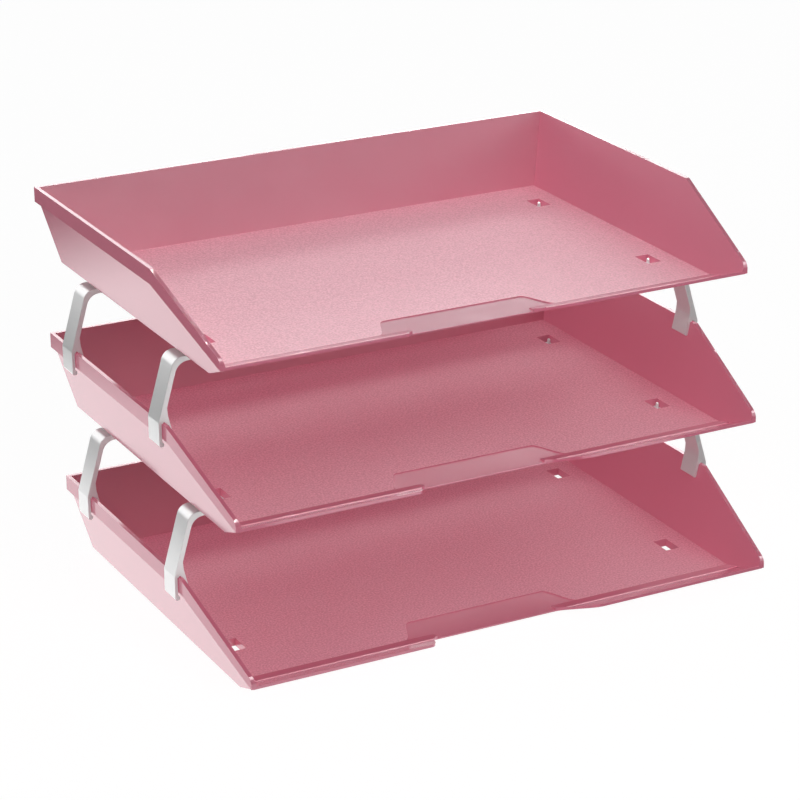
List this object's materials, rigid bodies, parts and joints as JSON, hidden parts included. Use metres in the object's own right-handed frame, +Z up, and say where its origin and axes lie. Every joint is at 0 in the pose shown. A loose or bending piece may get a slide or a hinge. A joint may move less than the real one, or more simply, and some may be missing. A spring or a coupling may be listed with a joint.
{
  "type": "letter tray",
  "caption": "Stack of shallow open-front desk trays with flared walls, carried one above another on clip-on metal risers, for sorting letters and loose paper.",
  "frame": {"origin": "on the desk, under the middle of the whole stack", "axes": "+X to the right across the trays, +Y from the open front to the back wall, +Z up"},
  "size_m": [0.3544, 0.278, 0.2264],
  "materials": {
    "tray_plastic": "dusty pink moulded plastic, smooth walls and a finely grained floor",
    "riser_metal": "satin, cut from a drawn profile"
  },
  "bodies": {
    "bottom_tray": {"bottom_tray": "tray_plastic"},
    "lower_risers": {"lower_riser_left_front": "riser_metal", "lower_riser_left_rear": "riser_metal", "lower_riser_right_front": "riser_metal", "lower_riser_right_rear": "riser_metal"},
    "middle_tray": {"middle_tray": "tray_plastic"},
    "upper_risers": {"upper_riser_left_front": "riser_metal", "upper_riser_left_rear": "riser_metal", "upper_riser_right_front": "riser_metal", "upper_riser_right_rear": "riser_metal"},
    "top_tray": {"top_tray": "tray_plastic"}
  },
  "joints": [
    {"name": "lower_riser_slide", "type": "slide", "parent": "bottom_tray", "child": "lower_risers", "axis": [0, 1, 0], "range_m": [-0.004, 0.02]},
    {"name": "middle_tray_lift", "type": "slide", "parent": "lower_risers", "child": "middle_tray", "axis": [0, 0, 1], "range_m": [0, 0.06]},
    {"name": "upper_riser_slide", "type": "slide", "parent": "middle_tray", "child": "upper_risers", "axis": [0, 1, 0], "range_m": [-0.004, 0.02]},
    {"name": "top_tray_lift", "type": "slide", "parent": "upper_risers", "child": "top_tray", "axis": [0, 0, 1], "range_m": [0, 0.06]}
  ]
}
